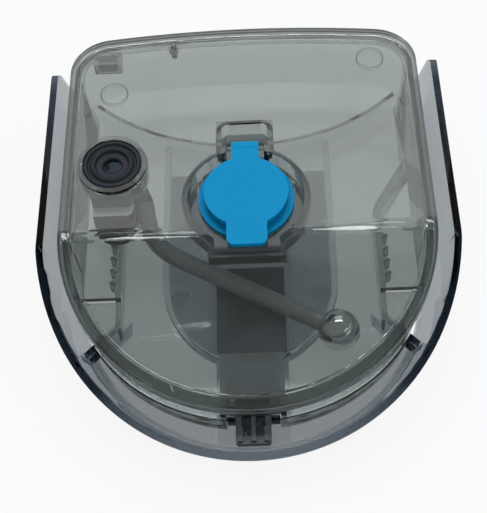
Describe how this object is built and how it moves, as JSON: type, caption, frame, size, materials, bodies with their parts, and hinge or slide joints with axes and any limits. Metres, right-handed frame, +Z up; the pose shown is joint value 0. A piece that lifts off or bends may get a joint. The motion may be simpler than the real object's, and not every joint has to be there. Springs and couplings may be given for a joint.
{
  "type": "floor cleaner water tank",
  "caption": "Smoke-tinted D-shaped water tank with flared side wings, a hinged silicone filler plug, a sealed outlet, a weighted pick-up hose and a sprung latch.",
  "frame": {"origin": "on the ground below the middle of the tank's outline", "axes": "+X to the right seen from the round front, +Y towards the straight rear edge, +Z up"},
  "size_m": [0.14, 0.1576, 0.0393],
  "materials": {
    "smoke_plastic": "transparent smoke grey",
    "shell_plastic": "transparent smoke grey",
    "blue_silicone": "satin",
    "black_rubber": "satin",
    "dark_plastic": "satin",
    "clear_plastic": "gloss",
    "grey_hose": "satin",
    "polished_steel": "polished",
    "spring_steel": "bright",
    "magnet": "plain"
  },
  "bodies": {
    "tank": {"outer_shell": "shell_plastic", "tank_tub": "smoke_plastic", "top_cover": "smoke_plastic", "outlet_seal": "black_rubber", "outlet_fitting": "dark_plastic", "outlet_ring": "black_rubber", "outlet_clip": "clear_plastic", "pickup_hose": "grey_hose", "pickup_weight": "polished_steel", "latch_cover": "dark_plastic", "latch_spring": "spring_steel", "sensor_magnet": "magnet", "vent_valve": "black_rubber"},
    "plug": {"filler_plug": "blue_silicone"},
    "latch": {"latch_slider": "dark_plastic"}
  },
  "joints": [
    {"name": "plug_hinge", "type": "hinge", "parent": "tank", "child": "plug", "pos_m": [0, 0.0264, 0.0355], "axis": [-1, 0, 0], "range_deg": [0, 125]},
    {"name": "latch_slide", "type": "slide", "parent": "tank", "child": "latch", "axis": [0, 1, 0], "range_m": [0, 0.003], "stiffness_N_per_m": 500, "springref_m": -0.002, "deforming": ["latch_spring"]}
  ]
}
